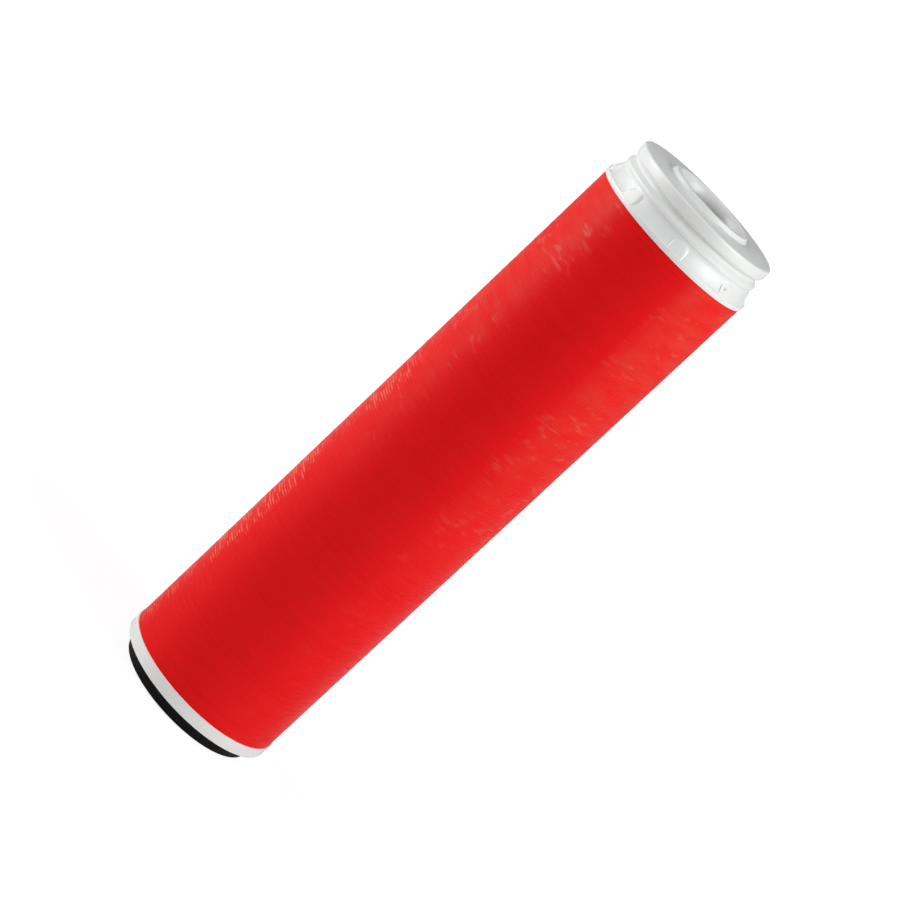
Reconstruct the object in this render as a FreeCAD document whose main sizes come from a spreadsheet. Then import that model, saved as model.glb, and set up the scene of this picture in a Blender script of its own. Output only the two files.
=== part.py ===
import FreeCAD, Part
import Sketcher
import math
import os

# Washable ring-stack filter cartridge, standing on its gasket. The origin is the centre of the gasket's lower
# face, with +Z up the axis to the collar. Lengths are in millimetres and angles in degrees.

SIZES = {
    # Outer radius that the base flange and the collar's foot share; the rings lie a little inside it
    "stack_radius": 32.8,
    "ring_setback": 0.3,
    # Stack of 192 thin grooved rings, joined here into packs of twelve
    "stack_height": 227.52,
    "pack_count": 16,
    "ring_bore_radius": 19.6,
    # Core tube, and the ribs that centre the rings
    "bore_radius": 13.75,
    "tube_wall": 2.2,
    "rib_clearance": 0.3,
    "rib_width": 3.0,
    "rib_count": 6,
    "rib_end_gap": 0.5,
    "rib_lead_in": 1.5,
    # Windows through the tube, between the ribs
    "window_width": 9.0,
    "window_rows": 8,
    "window_bar": 6.0,
    # Base flange of the core, its spigot and the socket for a centring stub
    "flange_thickness": 4.8,
    "flange_edge_round": 0.5,
    "spigot_radius": 17.0,
    "spigot_setback": 1.5,
    "bead_length": 1.4,
    "bead_height": 0.6,
    "socket_radius": 14.2,
    "socket_depth": 10.0,
    # Threaded upper end of the core
    "thread_radius": 17.5,
    "thread_drop": 3.0,
    "thread_engagement": 7.5,
    "thread_clearance": 0.15,
    "thread_lead_in": 1.0,
    # Bottom gasket
    "gasket_radius": 28.6,
    "gasket_reach": 5.1,
    "gasket_recess": 1.0,
    "gasket_clearance": 0.15,
    "gasket_edge_round": 0.7,
    # Flat washer between the core and the collar
    "washer_thickness": 2.0,
    "washer_clearance": 0.2,
    # Collar, outside, from its foot up
    "foot_height": 1.9,
    "foot_ledge": 0.4,
    "flare_height": 4.6,
    "flare_round": 12.0,
    "neck_radius": 30.1,
    "neck_height": 3.65,
    "band_height": 2.6,
    "band_proud": 0.25,
    "band_chamfer": 0.6,
    "seal_groove_depth": 1.8,
    "seal_groove_width": 1.85,
    "rim_radius": 30.25,
    "rim_height": 4.58,
    "rim_chamfer": 0.6,
    "rim_edge_round": 0.9,
    # Collar, raised lip round the mouth of the bore
    "mouth_flare": 1.85,
    "mouth_depth": 2.4,
    "mouth_round": 5.8,
    "lip_wall": 1.35,
    "lip_height": 1.8,
    "lip_edge_round": 0.6,
    "lip_draft": 0.9,
    "lip_foot_round": 0.7,
    # Collar, cored underside
    "boss_wall": 2.6,
    "collar_wall": 2.6,
    "clamp_width": 4.4,
    "roof_thickness": 3.2,
    "web_thickness": 1.6,
    "web_setback": 1.0,
    # Grip lugs round the collar's foot
    "lug_count": 8,
    "lug_width": 6.2,
    "lug_height": 5.0,
    "lug_crown_round": 3.15,
    "lug_proud": 0.15,
    "lug_angle": 6.1,
}

# Heights from the origin that several pieces share, as expressions on the sheet
FLANGE_BASE = "sizes.gasket_reach"
RECESS_ROOF = f"{FLANGE_BASE} + sizes.gasket_recess"
STACK_BASE = f"{FLANGE_BASE} + sizes.flange_thickness"
PACK_HEIGHT = "sizes.stack_height / sizes.pack_count"
STACK_TOP = f"{STACK_BASE} + sizes.stack_height"
CORE_TOP = f"{STACK_TOP} + sizes.thread_engagement"
BEAD_TOP = "sizes.spigot_setback + sizes.bead_length"

# Radii that several pieces share
TUBE_RADIUS = "sizes.bore_radius + sizes.tube_wall"
RIB_TIP_RADIUS = "sizes.ring_bore_radius - sizes.rib_clearance"
BEAD_RADIUS = "sizes.spigot_radius + sizes.bead_height"
BOSS_BORE_RADIUS = "sizes.thread_radius + sizes.thread_clearance"
MOUTH_RADIUS = "sizes.bore_radius + sizes.mouth_flare"
LIP_RADIUS = f"{MOUTH_RADIUS} + sizes.lip_wall"
LIP_FOOT_RADIUS = f"{LIP_RADIUS} + sizes.lip_draft"

FULL_TURN = 360
MERGE = 0.2  # how far a feature reaches into the body it joins
SWEEP = 2.0  # how far a cut reaches past the material it removes


def value_of(expression):
    return float(sheet.evalExpression(expression))


def new_body(name):
    body = doc.addObject("PartDesign::Body", name)
    body.Label = name
    pieces.append(body)
    return body


def origin_feature(body, role):
    return next(feature for feature in body.Origin.OriginFeatures if feature.Role == role)


def new_sketch(body, name, plane="XZ_Plane"):
    sketch = body.newObject("Sketcher::SketchObject", name)
    sketch.AttachmentSupport = [(origin_feature(body, plane), "")]
    sketch.MapMode = "FlatFace"
    return sketch


def arc_between(start, end, radius, side):
    """An arc between two points that bulges to the left of the way from start to end for side 1, else right."""
    chord = end - start
    across = FreeCAD.Vector(-chord.y, chord.x, 0).normalize() * side
    centre = start + chord / 2 - across * math.sqrt(radius**2 - (chord.Length / 2) ** 2)
    first, last = (end, start) if side > 0 else (start, end)
    angles = [math.atan2(point.y - centre.y, point.x - centre.x) for point in (first, last)]
    return Part.ArcOfCircle(Part.Circle(centre, FreeCAD.Vector(0, 0, 1), radius), *angles)


def bind(sketch, kind, references, expression):
    """Adds a dimension to the sketch and ties it to an expression on the sheet."""
    index = sketch.addConstraint(Sketcher.Constraint(kind, *references, value_of(expression)))
    sketch.setExpression(f"Constraints[{index}]", expression)


def place_corner(sketch, edge, end, corner):
    """Ties one end of an edge to its two coordinates; the coordinate "0" puts it on the axis itself."""
    for kind, axis_line, expression in (("DistanceX", -2, corner[0]), ("DistanceY", -1, corner[1])):
        if expression == "0":
            sketch.addConstraint(Sketcher.Constraint("PointOnObject", edge, end, axis_line))
        else:
            bind(sketch, kind, (-1, 1, edge, end), expression)


def add_outline(sketch, corners, arcs=None):
    """Adds a closed outline; corners are pairs of expressions, and arcs maps an edge to its radius and side."""
    arcs = arcs or {}
    points = [FreeCAD.Vector(value_of(across), value_of(up), 0) for across, up in corners]
    edges = []
    for number, start in enumerate(points):
        end = points[(number + 1) % len(points)]
        if number not in arcs:
            edges.append((sketch.addGeometry(Part.LineSegment(start, end)), 1, 2))
            continue
        radius, side = arcs[number]
        index = sketch.addGeometry(arc_between(start, end, value_of(radius), side))
        edges.append((index, 2, 1) if side > 0 else (index, 1, 2))
    for number, (index, _, last) in enumerate(edges):
        next_index, next_first, _ = edges[(number + 1) % len(edges)]
        sketch.addConstraint(Sketcher.Constraint("Coincident", index, last, next_index, next_first))
    for number, (index, first, _) in enumerate(edges):
        place_corner(sketch, index, first, corners[number])
        if number in arcs:
            bind(sketch, "Radius", (index,), arcs[number][0])


def turned(body, kind, name, corners, arcs=None):
    """A Revolution or Groove of an outline of (radius, height) corners about the body's Z axis."""
    sketch = new_sketch(body, f"{name}_outline")
    add_outline(sketch, corners, arcs)
    feature = body.newObject(f"PartDesign::{kind}", name)
    feature.Profile = sketch
    feature.ReferenceAxis = (sketch, ["V_Axis"])
    feature.Angle = FULL_TURN
    doc.recompute()
    return feature


def patterned(body, name, original, count):
    """Repeats a feature evenly round the Z axis."""
    pattern = body.newObject("PartDesign::PolarPattern", name)
    pattern.Originals = [original]
    pattern.Axis = (origin_feature(body, "Z_Axis"), [""])
    pattern.Angle = FULL_TURN
    pattern.setExpression("Occurrences", count)
    body.Tip = pattern
    doc.recompute()
    return pattern


def round_circles(body, name, circles, radius):
    """Rounds the circular edges of the body's tip that have the given (radius, height) pairs."""
    base = body.Tip
    targets = [(value_of(across), value_of(up)) for across, up in circles]
    chosen = []
    for number, edge in enumerate(base.Shape.Edges, start=1):
        if not isinstance(edge.Curve, Part.Circle):
            continue
        place = (edge.Curve.Radius, edge.Curve.Center.z)
        if any(math.dist(place, target) < 1e-4 for target in targets):
            chosen.append(f"Edge{number}")
    fillet = body.newObject("PartDesign::Fillet", name)
    fillet.Base = (base, chosen)
    fillet.setExpression("Radius", radius)
    doc.recompute()
    return fillet


def make_core():
    """The spine: base flange, gasket spigot, windowed tube with ribs, and the threaded end for the collar."""
    body = new_body("core")
    recess_radius = "sizes.gasket_radius + sizes.gasket_clearance"
    socket_top = "sizes.spigot_setback + sizes.socket_depth"
    thread_base = f"{STACK_TOP} - sizes.thread_drop"
    corners = [
        ("sizes.socket_radius", "sizes.spigot_setback"),
        ("sizes.spigot_radius", "sizes.spigot_setback"),
        (BEAD_RADIUS, "sizes.spigot_setback + sizes.bead_height"),
        (BEAD_RADIUS, BEAD_TOP),
        ("sizes.spigot_radius", BEAD_TOP),
        ("sizes.spigot_radius", RECESS_ROOF),
        (recess_radius, RECESS_ROOF),
        (recess_radius, FLANGE_BASE),
        ("sizes.stack_radius", FLANGE_BASE),
        ("sizes.stack_radius", STACK_BASE),
        (TUBE_RADIUS, STACK_BASE),
        (TUBE_RADIUS, f"{thread_base} - (sizes.thread_radius - ({TUBE_RADIUS}))"),
        ("sizes.thread_radius", thread_base),
        ("sizes.thread_radius", f"{CORE_TOP} - sizes.thread_lead_in"),
        ("sizes.thread_radius - sizes.thread_lead_in", CORE_TOP),
        ("sizes.bore_radius", CORE_TOP),
        ("sizes.bore_radius", socket_top),
        ("sizes.socket_radius", socket_top),
    ]
    turned(body, "Revolution", "core_spine", corners)

    # Ribs: their tips carry the bores of the rings, and a lead-in at the top lets the rings slide on
    rib_root = f"{TUBE_RADIUS} - {MERGE}"
    rib_top = f"{STACK_TOP} - sizes.rib_end_gap"
    rib_outline = new_sketch(body, "rib_outline")
    rib_corners = [
        (rib_root, f"{STACK_BASE} - {MERGE}"),
        (RIB_TIP_RADIUS, f"{STACK_BASE} - {MERGE}"),
        (RIB_TIP_RADIUS, f"{rib_top} - sizes.rib_lead_in"),
        (f"{RIB_TIP_RADIUS} - sizes.rib_lead_in", rib_top),
        (rib_root, rib_top),
    ]
    add_outline(rib_outline, rib_corners)
    rib = body.newObject("PartDesign::Pad", "rib")
    rib.Profile = rib_outline
    rib.SideType = "Symmetric"
    rib.setExpression("Length", "sizes.rib_width")
    doc.recompute()
    patterned(body, "ribs", rib, "sizes.rib_count")

    # One column of windows, then the same between every pair of ribs
    half_width = "sizes.window_width / 2"
    row_pitch = "sizes.stack_height / sizes.window_rows"
    window_outline = new_sketch(body, "window_outline")
    for row in range(SIZES["window_rows"]):
        lower = f"{STACK_BASE} + {row_pitch} * {row} + sizes.window_bar / 2"
        upper = f"{STACK_BASE} + {row_pitch} * {row + 1} - sizes.window_bar / 2"
        window_corners = [
            (f"-{half_width}", lower),
            (half_width, lower),
            (half_width, upper),
            (f"-{half_width}", upper),
        ]
        add_outline(window_outline, window_corners)
    windows = body.newObject("PartDesign::Pocket", "window_column")
    windows.Profile = window_outline
    windows.Reversed = True
    windows.setExpression("Length", f"{TUBE_RADIUS} + {MERGE}")
    doc.recompute()
    patterned(body, "windows", windows, "sizes.rib_count")
    body.Tip = round_circles(
        body,
        "flange_edge",
        [("sizes.stack_radius", FLANGE_BASE)],
        "sizes.flange_edge_round",
    )


def make_bottom_gasket():
    """Rubber ring that sits in the flange's recess and snaps over the bead of the spigot."""
    body = new_body("bottom_gasket")
    bore_radius = "sizes.spigot_radius + sizes.gasket_clearance"
    counterbore_radius = f"{BEAD_RADIUS} + sizes.gasket_clearance"
    corners = [
        (bore_radius, BEAD_TOP),
        (counterbore_radius, BEAD_TOP),
        (counterbore_radius, "0"),
        ("sizes.gasket_radius", "0"),
        ("sizes.gasket_radius", RECESS_ROOF),
        (bore_radius, RECESS_ROOF),
    ]
    turned(body, "Revolution", "gasket_ring", corners)
    body.Tip = round_circles(body, "gasket_edge", [("sizes.gasket_radius", "0")], "sizes.gasket_edge_round")


def make_disc_pack(number):
    """One pack of grooved rings, pressed face to face on the flange or on the pack below."""
    body = new_body(f"disc_pack_{number:02d}")
    ring_radius = "sizes.stack_radius - sizes.ring_setback"
    corners = [
        ("sizes.ring_bore_radius", "0"),
        (ring_radius, "0"),
        (ring_radius, PACK_HEIGHT),
        ("sizes.ring_bore_radius", PACK_HEIGHT),
    ]
    turned(body, "Revolution", f"rings_{number:02d}", corners)
    body.setExpression("Placement.Base.z", f"{STACK_BASE} + {PACK_HEIGHT} * {number - 1}")


def make_collar_washer():
    """Flat rubber washer pinched between the end of the core and the seat in the collar."""
    body = new_body("collar_washer")
    inner = "sizes.bore_radius + sizes.washer_clearance"
    outer = f"{BOSS_BORE_RADIUS} - sizes.washer_clearance"
    corners = [
        (inner, "0"),
        (outer, "0"),
        (outer, "sizes.washer_thickness"),
        (inner, "sizes.washer_thickness"),
    ]
    turned(body, "Revolution", "washer_ring", corners)
    body.setExpression("Placement.Base.z", CORE_TOP)


def make_collar():
    """The screwed collar that presses the rings together, cored from below and turned by its lugs."""
    body = new_body("collar")
    foot_top = "sizes.foot_height"
    flare_top = f"{foot_top} + sizes.flare_height"
    neck_top = f"{flare_top} + sizes.neck_height"
    groove_top = f"{neck_top} + sizes.seal_groove_width"
    collar_top = f"{groove_top} + sizes.rim_height"
    lip_top = f"{collar_top} + sizes.lip_height"
    washer_seat = "sizes.thread_engagement + sizes.washer_thickness"
    band_radius = "sizes.neck_radius + sizes.band_proud"
    band_base = f"{neck_top} - sizes.band_height"
    groove_radius = f"{band_radius} - sizes.seal_groove_depth"
    corners = [
        (BOSS_BORE_RADIUS, "0"),
        ("sizes.stack_radius", "0"),
        ("sizes.stack_radius", foot_top),
        ("sizes.stack_radius - sizes.foot_ledge", foot_top),
        ("sizes.neck_radius", flare_top),
        ("sizes.neck_radius", band_base),
        (band_radius, f"{band_base} + sizes.band_proud"),
        (band_radius, f"{neck_top} - sizes.band_chamfer"),
        (f"{band_radius} - sizes.band_chamfer", neck_top),
        (groove_radius, neck_top),
        (groove_radius, groove_top),
        ("sizes.rim_radius - sizes.rim_chamfer", groove_top),
        ("sizes.rim_radius", f"{groove_top} + sizes.rim_chamfer"),
        ("sizes.rim_radius", collar_top),
        (LIP_FOOT_RADIUS, collar_top),
        (LIP_RADIUS, lip_top),
        (MOUTH_RADIUS, lip_top),
        ("sizes.bore_radius", f"{collar_top} - sizes.mouth_depth"),
        ("sizes.bore_radius", washer_seat),
        (BOSS_BORE_RADIUS, washer_seat),
    ]
    arcs = {3: ("sizes.flare_round", 1), 16: ("sizes.mouth_round", -1)}
    turned(body, "Revolution", "collar_shell", corners, arcs)

    # Annular hollow between the boss and the outer wall, which follows the neck and the seal groove
    boss_radius = f"{BOSS_BORE_RADIUS} + sizes.boss_wall"
    clamp_inner = "sizes.stack_radius - sizes.clamp_width"
    neck_inner = "sizes.neck_radius - sizes.collar_wall"
    groove_inner = f"{groove_radius} - sizes.collar_wall"
    shoulder = f"{neck_top} - sizes.collar_wall"
    roof = f"{collar_top} - sizes.roof_thickness"
    hollow_corners = [
        (boss_radius, "0"),
        (clamp_inner, "0"),
        (clamp_inner, foot_top),
        (neck_inner, shoulder),
        (groove_inner, neck_top),
        (groove_inner, roof),
        (boss_radius, roof),
    ]
    turned(body, "Groove", "hollow", hollow_corners)

    # Radial webs across the hollow, one behind each lug
    web_outline = new_sketch(body, "web_outline", "YZ_Plane")
    web_corners = [
        (f"{boss_radius} - {MERGE}", "sizes.web_setback"),
        (f"{clamp_inner} + {MERGE}", "sizes.web_setback"),
        (f"{clamp_inner} + {MERGE}", foot_top),
        (f"{neck_inner} + {MERGE}", shoulder),
        (f"{groove_inner} + {MERGE}", neck_top),
        (f"{groove_inner} + {MERGE}", f"{roof} + {MERGE}"),
        (f"{boss_radius} - {MERGE}", f"{roof} + {MERGE}"),
    ]
    add_outline(web_outline, web_corners)
    web = body.newObject("PartDesign::Pad", "web")
    web.Profile = web_outline
    web.SideType = "Symmetric"
    web.setExpression("Length", "sizes.web_thickness")
    doc.recompute()
    patterned(body, "webs", web, "sizes.lug_count")

    # Arched lugs on the flare, raised from inside the wall and then trimmed to one cone
    lug_root = "sizes.neck_radius - sizes.collar_wall / 2"
    lug_crown = f"{foot_top} + sizes.lug_height"
    half_width = "sizes.lug_width / 2"
    lug_outline = new_sketch(body, "lug_outline")
    lug_outline.setExpression("AttachmentOffset.Base.z", lug_root)
    shoulder_height = f"{lug_crown} - (sizes.lug_crown_round - sqrt(sizes.lug_crown_round^2 - ({half_width})^2))"
    lug_corners = [
        (f"-{half_width}", foot_top),
        (half_width, foot_top),
        (half_width, shoulder_height),
        (f"-{half_width}", shoulder_height),
    ]
    add_outline(lug_outline, lug_corners, {2: ("sizes.lug_crown_round", -1)})
    lug = body.newObject("PartDesign::Pad", "lug")
    lug.Profile = lug_outline
    lug.setExpression("Length", f"sizes.stack_radius + {MERGE} - ({lug_root})")
    doc.recompute()
    patterned(body, "lugs", lug, "sizes.lug_count")
    lug_foot_radius = "sizes.stack_radius - sizes.foot_ledge / 2"
    lug_crown_radius = "sizes.neck_radius + sizes.lug_proud"
    trim_corners = [
        (lug_foot_radius, foot_top),
        (f"sizes.stack_radius + {SWEEP}", foot_top),
        (f"sizes.stack_radius + {SWEEP}", f"{lug_crown} + {MERGE}"),
        (lug_crown_radius, f"{lug_crown} + {MERGE}"),
        (lug_crown_radius, lug_crown),
    ]
    turned(body, "Groove", "lug_trim", trim_corners)

    body.Tip = round_circles(
        body, "rim_edge", [("sizes.rim_radius", collar_top)], "sizes.rim_edge_round"
    )
    body.Tip = round_circles(
        body,
        "lip_edge",
        [(LIP_RADIUS, lip_top), (MOUTH_RADIUS, lip_top)],
        "sizes.lip_edge_round",
    )
    body.Tip = round_circles(body, "lip_foot", [(LIP_FOOT_RADIUS, collar_top)], "sizes.lip_foot_round")
    body.Placement = FreeCAD.Placement(FreeCAD.Vector(), FreeCAD.Rotation(FreeCAD.Vector(0, 0, 1), 1))
    body.setExpression("Placement.Base.z", STACK_TOP)
    body.setExpression("Placement.Rotation.Angle", "sizes.lug_angle")


def check_and_write():
    """Stops on any failed object or bad shape, and otherwise writes one STEP file for each piece."""
    failed = [item.Label for item in doc.Objects if {"Invalid", "Error"} & set(item.State)]
    if failed:
        raise RuntimeError(f"failed objects: {failed}")
    for body in pieces:
        shape = body.Shape
        if shape.isNull() or not shape.isValid() or len(shape.Solids) != 1:
            raise RuntimeError(f"bad shape: {body.Label}")
    os.makedirs("parts", exist_ok=True)
    for body in pieces:
        body.Shape.exportStep(f"parts/{body.Label}.step")
        box = body.Shape.BoundBox
        print(f"{body.Label}: volume {body.Shape.Volume:.1f}, z {box.ZMin:.2f} to {box.ZMax:.2f}")


doc = FreeCAD.newDocument("filter_cartridge")
sheet = doc.addObject("Spreadsheet::Sheet", "sizes")
for row, (alias, value) in enumerate(SIZES.items(), start=1):
    sheet.set(f"A{row}", alias)
    sheet.set(f"B{row}", str(value))
    sheet.setAlias(f"B{row}", alias)
doc.recompute()

pieces = []
make_core()
make_bottom_gasket()
for pack_number in range(1, SIZES["pack_count"] + 1):
    make_disc_pack(pack_number)
make_collar_washer()
make_collar()
doc.recompute()
check_and_write()
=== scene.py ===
import math
import random

import bpy
from mathutils import Matrix, Vector


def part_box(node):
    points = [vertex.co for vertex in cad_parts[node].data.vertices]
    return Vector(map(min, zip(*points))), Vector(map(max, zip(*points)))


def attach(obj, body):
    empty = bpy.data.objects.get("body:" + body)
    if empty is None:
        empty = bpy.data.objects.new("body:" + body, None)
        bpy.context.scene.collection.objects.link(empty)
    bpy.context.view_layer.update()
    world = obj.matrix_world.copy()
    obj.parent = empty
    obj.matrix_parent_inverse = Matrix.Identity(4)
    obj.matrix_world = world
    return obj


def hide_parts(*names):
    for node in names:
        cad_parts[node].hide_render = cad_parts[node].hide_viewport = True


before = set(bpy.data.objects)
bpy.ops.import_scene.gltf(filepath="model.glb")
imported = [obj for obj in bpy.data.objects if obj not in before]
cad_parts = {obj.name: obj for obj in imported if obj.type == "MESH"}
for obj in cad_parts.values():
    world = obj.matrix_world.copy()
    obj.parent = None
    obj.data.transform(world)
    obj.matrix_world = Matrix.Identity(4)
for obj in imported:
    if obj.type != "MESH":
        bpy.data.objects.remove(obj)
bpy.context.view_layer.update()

# Looks of a washable ring-stack filter cartridge: metres, +Z up the axis, standing on its gasket

MM = 0.001
TURN = 2 * math.pi

# Ring packs
RING_SEED = 7
RINGS_IN_PACK = 12
RING_BORE_RADIUS = 19.6 * MM
RING_SEGMENTS = 160
RING_SETBACK = 0.06 * MM  # mean land radius inside the solid's, so that no ring leaves its outline
RING_RADIUS_SPREAD = 0.015 * MM
RING_SHIFT = 0.03 * MM
GROOVE_DEPTH = 0.06 * MM
GROOVE_HALF_WIDTH = 0.022 * MM
LAND_EDGE = 0.12 * MM
LAND_EDGE_DROP = 0.008 * MM
BORE_GROOVE_DEPTH = 0.15 * MM
RING_SHARP_ANGLE = 25  # degrees between faces, past which an edge isn't smoothed

# Collar, outside, from its foot up
FOOT_HEIGHT = 1.9 * MM
FOOT_LEDGE = 0.4 * MM
FLARE_HEIGHT = 4.6 * MM
FLARE_ROUND = 12.0 * MM
FLARE_STEPS = 16
NECK_INSET = 2.7 * MM
NECK_HEIGHT = 3.65 * MM
BAND_HEIGHT = 2.6 * MM
BAND_PROUD = 0.25 * MM
BAND_FOOT_ROUND = 0.1 * MM
BAND_EDGE_DROP = 1.2 * MM  # from the neck's top down to where the groove's sloped flank starts
BAND_EDGE_ROUND = 0.4 * MM
SEAL_GROOVE_DEPTH = 1.5 * MM
SEAL_GROOVE_WIDTH = 1.85 * MM
SEAL_GROOVE_FOOT_ROUND = 0.2 * MM
SEAL_GROOVE_TOP_ROUND = 0.1 * MM
RIM_INSET = 2.55 * MM
RIM_CHAMFER = 0.6 * MM
RIM_CHAMFER_HEIGHT = 1.0 * MM
RIM_FOOT_ROUND = 0.15 * MM
RIM_CHAMFER_ROUND = 0.3 * MM
RIM_EDGE_ROUND = 0.9 * MM
LIP_RADIUS = 16.95 * MM
LIP_HEIGHT = 1.8 * MM
LIP_EDGE_ROUND = 0.6 * MM
LIP_DRAFT = 0.9 * MM
LIP_FOOT_ROUND = 0.9 * MM
MOUTH_RADIUS = 15.6 * MM
MOUTH_DEPTH = 2.0 * MM
MOUTH_ROUND = 5.8 * MM
MOUTH_STEPS = 8
BORE_RADIUS = 13.75 * MM
MOULD_ROUND = 0.22 * MM  # small round on the moulded edges
COLLAR_SHARP_ANGLE = 40
TOLERANCE = 0.01 * MM

# Collar, cored underside
BOSS_BORE_RADIUS = 17.65 * MM
BOSS_WALL = 2.6 * MM
WASHER_SEAT = 9.5 * MM
CLAMP_WIDTH = 4.4 * MM
COLLAR_WALL = 2.6 * MM
ROOF_THICKNESS = 3.2 * MM
WEB_THICKNESS = 1.6 * MM
WEB_SETBACK = 1.0 * MM
MERGE = 0.2 * MM  # how far the webs reach into the walls they join

# Grip lugs on the flare
LUG_COUNT = 8
LUG_ANGLE = math.radians(6.1 - 90)  # centre of the lug nearest the front, from +X
LUG_HALF_WIDTH = 3.1 * MM
LUG_HEIGHT = 5.0 * MM
LUG_CROWN_ROUND = 3.15 * MM
LUG_FOOT_INSET = 0.2 * MM
LUG_CROWN_INSET = 2.66 * MM
LUG_CROWN_FADE = 0.4  # how steeply the crown fades into the neck, next to the sides' 1
LUG_EDGE_BLEND = 0.5 * MM
LUG_MEAN_RADIUS = 32 * MM

# Degrees between the sections of the collar, and how far the closest ones reach to each side of a lug's edge
LUG_FACE_STEP = 0.8
LUG_SIDE_STEP = 0.2
LUG_GAP_STEP = 2.4
LUG_SIDE_INWARD = 0.6
LUG_SIDE_OUTWARD = 1.0

# Colours, linear
RED_DEEP = (0.675, 0.0050, 0.0062, 1)
RED_LIGHT = (0.715, 0.0070, 0.0082, 1)
# Painted sheen: a lighter red that stands for the highlights on the two sides
RED_PAINTED_SHEEN = (0.66, 0.052, 0.032, 1)
# Painted highlight: pale dashes along the left outline of the rings
RED_PAINTED_EDGE_HIGHLIGHT = (0.70, 0.19, 0.11, 1)
WHITE_DULL = (0.697, 0.709, 0.699, 1)
WHITE_CLEAN = (0.732, 0.744, 0.733, 1)
SPECK_GREY = (0.20, 0.20, 0.19, 1)
# Painted shade: grey that darkens the bore further down
BORE_SHADE_GREY = (0.30, 0.30, 0.285, 1)
RUBBER_BLACK = (0.0030, 0.0030, 0.0027, 1)
RUBBER_DUST = (0.012, 0.012, 0.011, 1)
PURE_WHITE = (1, 1, 1, 1)

# Marks: a small grey speck on the collar's flare, and painted shade that deepens down the bore
SPECK_PLACE = Vector((23.4, -20.3, 241.6)) * MM
SPECK_CORE = 0.40 * MM
SPECK_EDGE = 0.85 * MM
BORE_SHADE_START = 0.6 * MM  # depth below the top of the lip
BORE_SHADE_FULL = 6.8 * MM

# Painted light on the rings: the dark band without painted sheen lies a little left of the middle, the painted sheen
# grows up the stack, and the pale dashes of painted highlight on the left fade out up the stack
DARK_BAND_SHIFT = 2.0 * MM
SHEEN_RISE_FROM = 0.09
SHEEN_RISE_TO = 0.235
EDGE_HIGHLIGHT_FADE_FROM = 0.11
EDGE_HIGHLIGHT_FADE_TO = 0.20

# Camera, at the photograph's angle
CAMERA_PLACE = Vector((0, -1.1506, 0.4187))
CAMERA_TARGET = Vector((0.00018, 0, 0.131))
CAMERA_LENS = 137.94
CAMERA_SENSOR = 36
CAMERA_ROLL = math.radians(46.80)

# Floor and lamps
FLOOR_RADIUS = 12.0
FLOOR_SEGMENTS = 96
FLOOR_PAINT = (0.80, 0.80, 0.80, 1)  # what the object sees of it
FLOOR_DIM_TO = 0.10  # distances from the axis between which the floor's glow rises to white
FLOOR_WHITE_FROM = 0.30
LAMP_TARGET = Vector((0, 0, 0.13))


# Mesh building

def circle_angles(count):
    return [TURN * number / count for number in range(count)]


def lathe(name, rows, angles, sharp_angle):
    """A closed ring-shaped mesh. Each row gives a (radius, height) at an angle; the rows go round the section
    anticlockwise, with the axis on the left side of the page."""
    points = []
    for row in rows:
        for angle in angles:
            radius, height, *shift = row(angle)
            x = radius * math.cos(angle)
            y = radius * math.sin(angle)
            points.append((x + shift[0], y + shift[1], height) if shift else (x, y, height))
    across = len(angles)
    faces = []
    for row in range(len(rows)):
        above = (row + 1) % len(rows)
        for step in range(across):
            beside = (step + 1) % across
            faces.append((row * across + step, row * across + beside, above * across + beside, above * across + step))
    mesh = bpy.data.meshes.new(name)
    mesh.from_pydata(points, [], faces)
    mesh.update()
    mesh.shade_smooth()
    mesh.set_sharp_from_angle(angle=math.radians(sharp_angle))
    piece = bpy.data.objects.new(name, mesh)
    bpy.context.scene.collection.objects.link(piece)
    return piece


def radial_plates(name, outline, thickness, count, first_angle):
    """Flat plates that stand in planes through the axis, each with the same (radius, height) outline."""
    points = []
    faces = []
    across = len(outline)
    for number in range(count):
        angle = first_angle + TURN * number / count
        out = Vector((math.cos(angle), math.sin(angle), 0))
        beside = Vector((-out.y, out.x, 0)) * thickness / 2
        first = len(points)
        for side in (-1, 1):
            points += [out * radius + beside * side + Vector((0, 0, height)) for radius, height in outline]
        faces.append([first + step for step in range(across)])
        faces.append([first + across + step for step in reversed(range(across))])
        for step in range(across):
            after = (step + 1) % across
            faces.append([first + after, first + step, first + across + step, first + across + after])
    mesh = bpy.data.meshes.new(name)
    mesh.from_pydata(points, [], faces)
    mesh.update()
    piece = bpy.data.objects.new(name, mesh)
    bpy.context.scene.collection.objects.link(piece)
    return piece


def plain_row(radius, height):
    return lambda angle: (radius, height)


def rounded_outline(corners, steps=3):
    """Points of a closed outline whose corners (across, up, round) are replaced by arcs."""
    points = []
    for number, (across, up, size) in enumerate(corners):
        corner = Vector((across, up))
        if not size:
            points.append(corner)
            continue
        to_last = (Vector(corners[number - 1][:2]) - corner).normalized()
        to_next = (Vector(corners[(number + 1) % len(corners)][:2]) - corner).normalized()
        half = to_last.angle(to_next) / 2
        reach = size / math.tan(half)
        centre = corner + (to_last + to_next).normalized() * (size / math.sin(half))
        start = corner + to_last * reach - centre
        end = corner + to_next * reach - centre
        sweep = start.angle_signed(end)
        for step in range(steps + 1):
            points.append(centre + Matrix.Rotation(-sweep * step / steps, 2) @ start)
    return points


def arc_points(start, end, radius, side, steps):
    """Points between two ends of an arc that bulges to the left of the way for side 1, else to the right."""
    start = Vector(start)
    end = Vector(end)
    chord = end - start
    across = Vector((-chord.y, chord.x)).normalized() * side
    centre = start + chord / 2 - across * math.sqrt(radius**2 - (chord.length / 2) ** 2)
    first = start - centre
    sweep = first.angle_signed(end - centre)
    return [centre + Matrix.Rotation(-sweep * step / steps, 2) @ first for step in range(1, steps)]


# Materials

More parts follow.
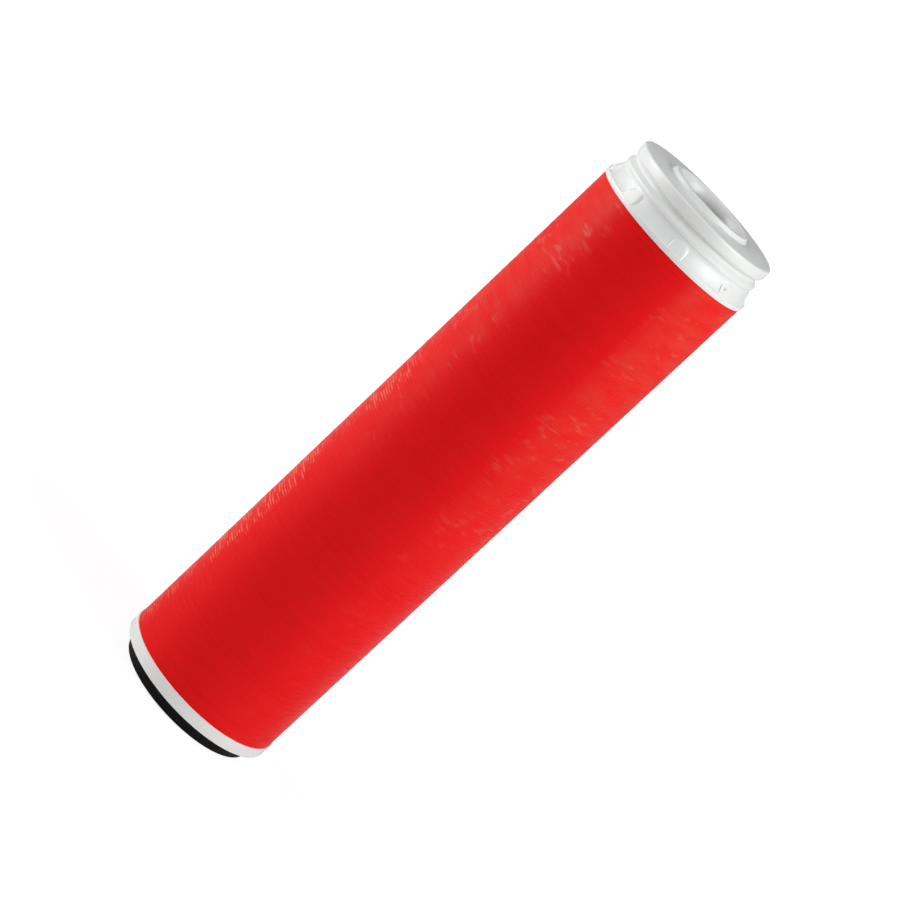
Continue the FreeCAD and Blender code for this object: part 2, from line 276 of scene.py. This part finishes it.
class Nodes:
    """A short way to write a material's node tree."""

    def __init__(self, name):
        self.material = bpy.data.materials.new(name)
        self.material.use_nodes = True
        self.tree = self.material.node_tree
        self.shader = self.tree.nodes["Principled BSDF"]

    def add(self, kind, inputs=None, **settings):
        node = self.tree.nodes.new(kind)
        for key, value in settings.items():
            setattr(node, key, value)
        for key, value in (inputs or {}).items():
            self.put(node.inputs[key], value)
        return node

    def put(self, socket, value):
        if isinstance(value, bpy.types.NodeSocket):
            self.tree.links.new(value, socket)
        else:
            socket.default_value = value

    def math(self, operation, *values):
        node = self.add("ShaderNodeMath", operation=operation)
        for number, value in enumerate(values):
            self.put(node.inputs[number], value)
        return node.outputs[0]

    def product(self, first, *others):
        for other in others:
            first = self.math("MULTIPLY", first, other)
        return first

    def mix(self, factor, first, second):
        node = self.add("ShaderNodeMix", data_type="RGBA")
        self.put(node.inputs["Factor"], factor)
        self.put(node.inputs["A"], first)
        self.put(node.inputs["B"], second)
        return node.outputs["Result"]

    def spread(self, value, low, high, new_low, new_high):
        """Maps a value from one range to another, and holds it there."""
        inputs = {"Value": value, "From Min": low, "From Max": high, "To Min": new_low, "To Max": new_high}
        return self.add("ShaderNodeMapRange", inputs).outputs["Result"]

    def noise(self, place, scale, detail=2.0, roughness=0.5):
        inputs = {"Vector": place, "Scale": scale, "Detail": detail, "Roughness": roughness}
        return self.add("ShaderNodeTexNoise", inputs).outputs["Fac"]

    def stretched(self, place, scale):
        return self.add("ShaderNodeMapping", {"Vector": place, "Scale": scale}).outputs["Vector"]

    def bump(self, height, strength, distance, below=None):
        inputs = {"Height": height, "Strength": strength, "Distance": distance}
        if below is not None:
            inputs["Normal"] = below
        return self.add("ShaderNodeBump", inputs).outputs["Normal"]

    def place(self):
        return self.add("ShaderNodeTexCoord").outputs["Object"]

    def finish(self, constants, linked):
        for key, value in constants.items():
            self.shader.inputs[key].default_value = value
        for key, value in linked.items():
            self.put(self.shader.inputs[key], value)
        return self.material


def red_ring_plastic(stack_base, pitch, radius):
    """Red plastic of the rings, each a touch different, with a painted sheen and strokes of painted highlight and
    real gloss on the two sides, and thin pale dashes of painted highlight on the left."""
    nodes = Nodes("red_ring_plastic")
    place = nodes.place()
    split = nodes.add("ShaderNodeSeparateXYZ", {"Vector": place})
    ring_place = nodes.math("DIVIDE", nodes.math("SUBTRACT", split.outputs["Z"], stack_base), pitch)
    ring = nodes.math("FLOOR", ring_place)
    across_ring = nodes.math("FRACT", ring_place)
    ring_tone = nodes.add("ShaderNodeTexWhiteNoise", {"W": ring}, noise_dimensions="1D").outputs["Value"]

    def along_ring(size, seed):
        """Coordinates that change along a ring but have nothing in common with the next ring's."""
        inputs = {
            "X": nodes.math("DIVIDE", split.outputs["X"], size),
            "Y": nodes.math("DIVIDE", split.outputs["Y"], size),
            "Z": nodes.math("MULTIPLY_ADD", ring, 7.31, seed),
        }
        return nodes.add("ShaderNodeCombineXYZ", inputs).outputs["Vector"]

    # Painted sheen on the two sides, more towards the collar, with sparse strokes a few millimetres long and a
    # ring or two thick: painted highlight in the colour, real gloss in the coat
    stroke_place = nodes.stretched(place, (1 / (6.5 * MM), 1 / (6.5 * MM), 1 / (2.6 * MM)))
    shared = nodes.noise(stroke_place, 1.0, detail=1.0)
    own = nodes.noise(along_ring(5.0 * MM, 0.0), 1.0, detail=1.0)
    stroke_noise = nodes.math("ADD", nodes.product(shared, 0.8), nodes.product(own, 0.2))
    patches = nodes.noise(place, 45.0, detail=2.0)
    threshold = nodes.spread(patches, 0.35, 0.65, 0.68, 0.52)
    over = nodes.math("SUBTRACT", stroke_noise, threshold)
    off_centre = nodes.math("ABSOLUTE", nodes.math("SUBTRACT", across_ring, 0.5))
    land = nodes.spread(off_centre, 0.36, 0.49, 1.0, 0.5)
    from_middle = nodes.math("ABSOLUTE", nodes.math("ADD", split.outputs["X"], DARK_BAND_SHIFT))
    side = nodes.spread(from_middle, 0.44 * radius, 0.62 * radius, 0.0, 1.0)
    rise = nodes.spread(split.outputs["Z"], SHEEN_RISE_FROM, SHEEN_RISE_TO, 0.10, 1.0)
    sheen_streak_place = nodes.stretched(place, (1 / (14 * MM), 1 / (14 * MM), 1 / (4.5 * MM)))
    bands = nodes.spread(nodes.noise(sheen_streak_place, 1.0, detail=2.0), 0.32, 0.68, 0.45, 1.35)
    painted_sheen_and_gloss = nodes.product(side, rise, bands)
    stroke_sides = nodes.spread(from_middle, 0.38 * radius, 0.56 * radius, 0.02, 1.0)
    upwards = nodes.spread(rise, 0.1, 0.8, 0.10, 1.0)
    stroke_gloss_and_highlight = nodes.product(nodes.spread(over, 0.0, 0.12, 0.0, 1.0), land, stroke_sides, upwards)
    # Painted sheen and painted stroke highlights, mixed into the colour below
    painted_sheen = nodes.math("ADD", nodes.product(painted_sheen_and_gloss, 0.42), nodes.product(stroke_gloss_and_highlight, 0.45))

    # Painted highlight: pale thin dashes on single rings, in ragged patches along the left outline
    along = nodes.noise(along_ring(6.5 * MM, 23.0), 1.0, detail=2.0)
    ragged = nodes.math("MULTIPLY_ADD", patches, -0.5 * radius, 0.25 * radius)
    from_left = nodes.math("ADD", split.outputs["X"], ragged)
    outer_left = nodes.spread(from_left, -0.85 * radius, -0.96 * radius, 0.0, 1.0)
    clusters = nodes.spread(patches, 0.36, 0.60, 0.53, 0.45)
    dashes = nodes.spread(nodes.math("SUBTRACT", along, clusters), 0.0, 0.12, 0.0, 1.0)
    lower = nodes.spread(split.outputs["Z"], EDGE_HIGHLIGHT_FADE_FROM, EDGE_HIGHLIGHT_FADE_TO, 1.0, 0.0)
    thin = nodes.spread(off_centre, 0.08, 0.38, 1.0, 0.0)
    painted_edge_highlight = nodes.product(dashes, thin, outer_left, lower)

    tone = nodes.spread(nodes.math("ADD", nodes.product(ring_tone, 0.5), patches), 0.3, 1.2, 0.0, 1.0)
    colour = nodes.mix(tone, RED_DEEP, RED_LIGHT)
    # Lighter red painted on the sides as sheen and stroke highlights, then pale painted highlight dashes on the left
    colour = nodes.mix(painted_sheen, colour, RED_PAINTED_SHEEN)
    colour = nodes.mix(nodes.product(painted_edge_highlight, 0.75), colour, RED_PAINTED_EDGE_HIGHLIGHT)

    dull = nodes.noise(along_ring(14 * MM, 3.0), 1.0, detail=2.0)
    roughness = nodes.spread(dull, 0.3, 0.7, 0.36, 0.46)
    coat = nodes.math("ADD", nodes.product(painted_sheen_and_gloss, 0.05), nodes.product(stroke_gloss_and_highlight, 0.60))

    # Faint notches along the edges of each ring, over a fine grain
    notch = nodes.noise(along_ring(0.5 * MM, 11.0), 1.0, detail=0.0)
    edge = nodes.spread(off_centre, 0.25, 0.42, 0.0, 1.0)
    normal = nodes.bump(nodes.product(notch, edge), 0.15, 0.04 * MM)
    normal = nodes.bump(nodes.noise(place, 2200.0, detail=2.0), 0.08, 0.02 * MM, normal)
    constants = {"Specular IOR Level": 0.06, "Coat Roughness": 0.28}
    linked = {"Base Color": colour, "Roughness": roughness, "Coat Weight": coat, "Normal": normal}
    return nodes.finish(constants, linked)


def white_moulded_plastic(lip_top):
    """Satin white moulded plastic with faint flow marks, a fine moulded grain, one small grey speck and painted
    shade that deepens down the bore."""
    nodes = Nodes("white_moulded_plastic")
    place = nodes.place()
    cloud = nodes.noise(place, 60.0, detail=3.0)
    flow_marks = nodes.noise(nodes.stretched(place, (1.0, 1.0, 4.0)), 220.0, detail=3.0)
    colour = nodes.mix(nodes.spread(cloud, 0.3, 0.7, 0.0, 1.0), WHITE_DULL, WHITE_CLEAN)

    from_speck = nodes.add("ShaderNodeVectorMath", {0: place, 1: SPECK_PLACE}, operation="DISTANCE").outputs["Value"]
    colour = nodes.mix(nodes.spread(from_speck, SPECK_CORE, SPECK_EDGE, 0.75, 0.0), colour, SPECK_GREY)

    level = nodes.add("ShaderNodeVectorMath", {0: place, 1: (1, 1, 0)}, operation="MULTIPLY").outputs["Vector"]
    from_axis = nodes.add("ShaderNodeVectorMath", {0: level}, operation="LENGTH").outputs["Value"]
    in_bore = nodes.spread(from_axis, BORE_RADIUS + 1.3 * MM, MOUTH_RADIUS - 0.1 * MM, 1.0, 0.0)
    height = nodes.add("ShaderNodeSeparateXYZ", {"Vector": place}).outputs["Z"]
    # Painted shade, stronger deeper down the bore
    thickness = nodes.spread(height, lip_top - BORE_SHADE_FULL, lip_top - BORE_SHADE_START, 0.52, 0.09)
    colour = nodes.mix(nodes.product(thickness, in_bore), colour, BORE_SHADE_GREY)

    roughness = nodes.spread(flow_marks, 0.3, 0.7, 0.36, 0.46)
    normal = nodes.bump(flow_marks, 0.10, 0.05 * MM)
    normal = nodes.bump(nodes.noise(place, 3000.0, detail=2.0), 0.10, 0.02 * MM, normal)
    constants = {
        "Specular IOR Level": 0.7,
        "Subsurface Weight": 0.4,
        "Subsurface Radius": (1.0, 1.0, 1.0),
        "Subsurface Scale": 1.0 * MM,
    }
    return nodes.finish(constants, {"Base Color": colour, "Roughness": roughness, "Normal": normal})


def black_gasket_rubber():
    """Matt black rubber with a fine grain and a trace of pale dust."""
    nodes = Nodes("black_gasket_rubber")
    place = nodes.place()
    dust = nodes.spread(nodes.noise(place, 350.0, detail=4.0), 0.55, 0.8, 0.0, 1.0)
    colour = nodes.mix(dust, RUBBER_BLACK, RUBBER_DUST)
    roughness = nodes.spread(nodes.noise(place, 500.0), 0.3, 0.7, 0.52, 0.66)
    normal = nodes.bump(nodes.noise(place, 2500.0, detail=3.0), 0.25, 0.04 * MM)
    constants = {"Specular IOR Level": 0.16}
    return nodes.finish(constants, {"Base Color": colour, "Roughness": roughness, "Normal": normal})


# Pieces

def ring_pack(number, node, draw):
    """Twelve rings pressed together: flat lands with eased edges, and a fine groove at each joint."""
    low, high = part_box(node)
    outer = high.x - RING_SETBACK
    bore = RING_BORE_RADIUS
    pitch = (high.z - low.z) / RINGS_IN_PACK
    rows = [plain_row(outer - GROOVE_DEPTH, low.z)]
    for step in range(RINGS_IN_PACK):
        base = low.z + step * pitch
        top = base + pitch
        size = outer + draw.uniform(-1, 1) * RING_RADIUS_SPREAD
        way = draw.uniform(0, TURN)
        reach = RING_SHIFT * draw.random()

        def land_row(height, inset=0.0, size=size, way=way, reach=reach):
            return lambda angle: (size - inset + reach * math.cos(angle - way), height)

        rows += [
            land_row(base + GROOVE_HALF_WIDTH, LAND_EDGE_DROP),
            land_row(base + GROOVE_HALF_WIDTH + LAND_EDGE),
            land_row(top - GROOVE_HALF_WIDTH - LAND_EDGE),
            land_row(top - GROOVE_HALF_WIDTH, LAND_EDGE_DROP),
            plain_row(outer - GROOVE_DEPTH, top),
        ]
    for step in reversed(range(RINGS_IN_PACK)):
        base = low.z + step * pitch
        rows += [
            plain_row(bore + BORE_GROOVE_DEPTH, base + pitch),
            plain_row(bore, base + pitch - GROOVE_HALF_WIDTH),
            plain_row(bore, base + GROOVE_HALF_WIDTH),
        ]
    rows.append(plain_row(bore + BORE_GROOVE_DEPTH, low.z))
    piece = lathe(f"ring_pack_{number:02d}", rows, circle_angles(RING_SEGMENTS), RING_SHARP_ANGLE)
    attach(piece, "root")
    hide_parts(node)
    return piece


def lug_angles():
    """Angles round the collar, close together at the sides of each lug and wide apart between the lugs."""
    half_turn = math.degrees(TURN / LUG_COUNT / 2)
    edge = math.degrees(LUG_HALF_WIDTH / LUG_MEAN_RADIUS)
    marks = [-half_turn]
    spans = (
        (-edge - LUG_SIDE_OUTWARD, LUG_GAP_STEP),
        (-edge + LUG_SIDE_INWARD, LUG_SIDE_STEP),
        (edge - LUG_SIDE_INWARD, LUG_FACE_STEP),
        (edge + LUG_SIDE_OUTWARD, LUG_SIDE_STEP),
        (half_turn, LUG_GAP_STEP),
    )
    for end, pitch in spans:
        start = marks[-1]
        count = max(1, round((end - start) / pitch))
        marks.extend(start + (end - start) * step / count for step in range(1, count + 1))
    sector = [math.radians(mark) for mark in marks[:-1]]
    return [LUG_ANGLE + TURN * lug / LUG_COUNT + mark for lug in range(LUG_COUNT) for mark in sector]


def smooth_step(value):
    value = min(max(value, 0.0), 1.0)
    return value * value * (3 - 2 * value)


def lug_depth(angle, height, radius):
    """How far a point on the flare lies inside the nearest lug's outline, negative outside it."""
    turn = (angle - LUG_ANGLE + TURN / LUG_COUNT / 2) % (TURN / LUG_COUNT) - TURN / LUG_COUNT / 2
    across = abs(math.sin(turn)) * radius
    crown_drop = LUG_CROWN_ROUND - math.sqrt(LUG_CROWN_ROUND**2 - LUG_HALF_WIDTH**2)
    crown_centre = LUG_HEIGHT - LUG_CROWN_ROUND
    inside_sides = LUG_HALF_WIDTH - across
    if height <= LUG_HEIGHT - crown_drop:
        return inside_sides
    return min(inside_sides, LUG_CROWN_FADE * (LUG_CROWN_ROUND - math.hypot(across, height - crown_centre)))


def collar():
    """The screw collar: foot, flare with grip lugs, neck, seal groove, rim and lip, cored from below."""
    low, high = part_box("collar")
    foot_radius = high.x
    base = low.z
    foot_top = base + FOOT_HEIGHT
    flare_top = foot_top + FLARE_HEIGHT
    neck_top = flare_top + NECK_HEIGHT
    groove_top = neck_top + SEAL_GROOVE_WIDTH
    lip_top = high.z
    rim_top = lip_top - LIP_HEIGHT
    neck = foot_radius - NECK_INSET
    rim = foot_radius - RIM_INSET
    band = neck + BAND_PROUD
    band_base = neck_top - BAND_HEIGHT
    groove = band - SEAL_GROOVE_DEPTH
    boss = BOSS_BORE_RADIUS + BOSS_WALL
    seat = base + WASHER_SEAT
    clamp_inner = foot_radius - CLAMP_WIDTH
    neck_inner = neck - COLLAR_WALL
    groove_inner = groove - COLLAR_WALL
    roof = rim_top - ROOF_THICKNESS
    ease = MOULD_ROUND

    flare_start = (foot_radius - FOOT_LEDGE, foot_top)
    flare = arc_points(flare_start, (neck, flare_top), FLARE_ROUND, 1, FLARE_STEPS)
    mouth_foot = (BORE_RADIUS, rim_top - MOUTH_DEPTH)
    mouth = arc_points((MOUTH_RADIUS, lip_top), mouth_foot, MOUTH_ROUND, -1, MOUTH_STEPS)
    corners = [
        (clamp_inner, base, ease),
        (foot_radius, base, ease),
        (foot_radius, foot_top, ease),
        (*flare_start, 0),
        *[(point.x, point.y, 0) for point in flare],
        (neck, flare_top, 0),
        (neck, band_base, BAND_FOOT_ROUND),
        (band, band_base + BAND_PROUD, BAND_FOOT_ROUND),
        (band, neck_top - BAND_EDGE_DROP, BAND_EDGE_ROUND),
        (groove, neck_top - BAND_EDGE_DROP + SEAL_GROOVE_DEPTH, SEAL_GROOVE_FOOT_ROUND),
        (groove, groove_top, SEAL_GROOVE_TOP_ROUND),
        (rim - RIM_CHAMFER, groove_top, RIM_FOOT_ROUND),
        (rim, groove_top + RIM_CHAMFER_HEIGHT, RIM_CHAMFER_ROUND),
        (rim, rim_top, RIM_EDGE_ROUND),
        (LIP_RADIUS + LIP_DRAFT, rim_top, LIP_FOOT_ROUND),
        (LIP_RADIUS, lip_top, LIP_EDGE_ROUND),
        (MOUTH_RADIUS, lip_top, LIP_EDGE_ROUND),
        *[(point.x, point.y, 0) for point in mouth],
        (*mouth_foot, 0),
        (BORE_RADIUS, seat, 0),
        (BOSS_BORE_RADIUS, seat, 0),
        (BOSS_BORE_RADIUS, base, ease),
        (boss, base, ease),
        (boss, roof, ease),
        (groove_inner, roof, ease),
        (groove_inner, neck_top, 0),
        (neck_inner, neck_top - COLLAR_WALL, 0),
        (clamp_inner, foot_top, 0),
    ]
    outline = rounded_outline(corners)

    def wall_row(point):
        """A row of the section; on the flare and neck it swells into the lugs."""
        above = point.y - foot_top
        at_lug_height = -TOLERANCE <= above <= LUG_HEIGHT + 2 * LUG_EDGE_BLEND
        if not at_lug_height or point.x <= neck - TOLERANCE:
            return plain_row(point.x, point.y)
        crown = foot_radius - LUG_CROWN_INSET
        lug_face = foot_radius - LUG_FOOT_INSET + (crown - foot_radius + LUG_FOOT_INSET) * above / LUG_HEIGHT

        def swell(angle):
            depth = lug_depth(angle, above, point.x)
            share = smooth_step(depth / LUG_EDGE_BLEND + 0.5)
            return (point.x + max(lug_face - point.x, 0) * share, point.y)

        return swell

    piece = lathe("screw_collar", [wall_row(point) for point in outline], lug_angles(), COLLAR_SHARP_ANGLE)
    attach(piece, "root")
    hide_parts("collar")

    web_base = base + WEB_SETBACK
    web_outline = [
        (boss - MERGE, web_base),
        (clamp_inner + MERGE, web_base),
        (clamp_inner + MERGE, foot_top),
        (neck_inner + MERGE, neck_top - COLLAR_WALL),
        (groove_inner + MERGE, neck_top),
        (groove_inner + MERGE, roof + MERGE),
        (boss - MERGE, roof + MERGE),
    ]
    webs = radial_plates("collar_webs", web_outline, WEB_THICKNESS, LUG_COUNT, LUG_ANGLE)
    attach(webs, "root")
    return piece, webs


# Camera, floor and light

def aim(rig, place, target, roll=0.0):
    """Puts a camera or lamp at a place, looks at the target and turns it about its line of sight."""
    forward = (target - place).normalized()
    right = forward.cross(Vector((0, 0, 1))).normalized()
    up = right.cross(forward)
    across = right * math.cos(roll) + up * math.sin(roll)
    rise = up * math.cos(roll) - right * math.sin(roll)
    turned = Matrix((across, rise, -forward)).transposed().to_4x4()
    turned.translation = place
    rig.matrix_world = turned


def add_camera():
    lens = bpy.data.cameras.new("photo_camera")
    lens.lens = CAMERA_LENS
    lens.sensor_width = CAMERA_SENSOR
    camera = bpy.data.objects.new("photo_camera", lens)
    bpy.context.scene.collection.objects.link(camera)
    aim(camera, CAMERA_PLACE, CAMERA_TARGET, CAMERA_ROLL)
    bpy.context.scene.camera = camera


def soft_box(name, azimuth, distance, height, width, tall, watts, mirrored=True):
    """A soft box that faces the middle of the cartridge; the azimuth turns from the front towards +X."""
    lamp = bpy.data.lights.new(name, "AREA")
    lamp.shape = "RECTANGLE"
    lamp.size = width
    lamp.size_y = tall
    lamp.energy = watts
    box = bpy.data.objects.new(name, lamp)
    bpy.context.scene.collection.objects.link(box)
    turn = math.radians(azimuth)
    place = Vector((math.sin(turn) * distance, -math.cos(turn) * distance, height))
    aim(box, place, LAMP_TARGET)
    box.visible_glossy = mirrored


def add_world(fill, mirrored):
    """White to the camera; the fill lights rough surfaces, and the mirrored level is what gloss reflects."""
    world = bpy.data.worlds.new("studio")
    world.use_nodes = True
    bpy.context.scene.world = world
    tree = world.node_tree
    rays = tree.nodes.new("ShaderNodeLightPath")
    gloss = tree.nodes.new("ShaderNodeMapRange")
    gloss.inputs["To Min"].default_value = fill
    gloss.inputs["To Max"].default_value = mirrored
    tree.links.new(rays.outputs["Is Glossy Ray"], gloss.inputs["Value"])
    seen = tree.nodes.new("ShaderNodeMath")
    seen.operation = "MAXIMUM"
    tree.links.new(rays.outputs["Is Camera Ray"], seen.inputs[0])
    tree.links.new(rays.outputs["Is Transmission Ray"], seen.inputs[1])
    strength = tree.nodes.new("ShaderNodeMath")
    strength.operation = "MAXIMUM"
    tree.links.new(seen.outputs[0], strength.inputs[0])
    tree.links.new(gloss.outputs["Result"], strength.inputs[1])
    background = tree.nodes["Background"]
    background.inputs["Color"].default_value = PURE_WHITE
    tree.links.new(strength.outputs[0], background.inputs["Strength"])


def add_floor(glow, paint):
    """A pale floor that the camera sees as white wherever no shadow falls."""
    bpy.ops.mesh.primitive_circle_add(
        vertices=FLOOR_SEGMENTS, radius=FLOOR_RADIUS, fill_type="NGON", location=(0, 0, 0)
    )
    floor = bpy.context.object
    floor.name = "studio_floor"
    nodes = Nodes("studio_floor")
    nodes.tree.nodes.remove(nodes.shader)
    rays = nodes.add("ShaderNodeLightPath")
    distance = nodes.add("ShaderNodeVectorMath", {0: nodes.place()}, operation="LENGTH").outputs["Value"]
    away = nodes.spread(distance, FLOOR_DIM_TO, FLOOR_WHITE_FROM, 0.0, 1.0)
    strength = nodes.math("MULTIPLY_ADD", away, 1.0 - glow, glow)
    plain = nodes.add("ShaderNodeBsdfDiffuse", {"Color": FLOOR_PAINT})
    shown = nodes.add("ShaderNodeBsdfDiffuse", {"Color": (paint, paint, paint, 1)})
    light = nodes.add("ShaderNodeEmission", {"Color": PURE_WHITE, "Strength": strength})
    both = nodes.add("ShaderNodeAddShader")
    nodes.put(both.inputs[0], shown.outputs[0])
    nodes.put(both.inputs[1], light.outputs[0])
    pick = nodes.add("ShaderNodeMixShader")
    nodes.put(pick.inputs["Fac"], rays.outputs["Is Camera Ray"])
    nodes.put(pick.inputs[1], plain.outputs[0])
    nodes.put(pick.inputs[2], both.outputs[0])
    nodes.put(nodes.tree.nodes["Material Output"].inputs["Surface"], pick.outputs[0])
    floor.data.materials.append(nodes.material)


def dress():
    """Puts the detailed pieces over the CAD ones, and materials on everything."""
    draw = random.Random(RING_SEED)
    low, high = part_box("disc_pack_01")
    red = red_ring_plastic(low.z, (high.z - low.z) / RINGS_IN_PACK, high.x)
    white = white_moulded_plastic(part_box("collar")[1].z)
    black = black_gasket_rubber()
    packs = sorted(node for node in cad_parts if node.startswith("disc_pack_"))
    for number, node in enumerate(packs, start=1):
        ring_pack(number, node, draw).data.materials.append(red)
    for piece in collar():
        piece.data.materials.append(white)
    for node, finish in (("core", white), ("bottom_gasket", black), ("collar_washer", black)):
        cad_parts[node].material_slots[0].material = finish


dress()
add_camera()
add_world(fill=0.255, mirrored=0.06)
add_floor(glow=0.86, paint=0.2)
soft_box("soft_box_left", azimuth=-87, distance=0.85, height=0.46, width=0.56, tall=0.66, watts=7.5)
soft_box("soft_box_right", azimuth=66, distance=0.80, height=0.62, width=0.50, tall=0.64, watts=7.75)
soft_box("front_fill", azimuth=5, distance=1.6, height=0.22, width=1.4, tall=0.4, watts=0.5, mirrored=False)
bpy.context.scene.view_settings.view_transform = "Standard"
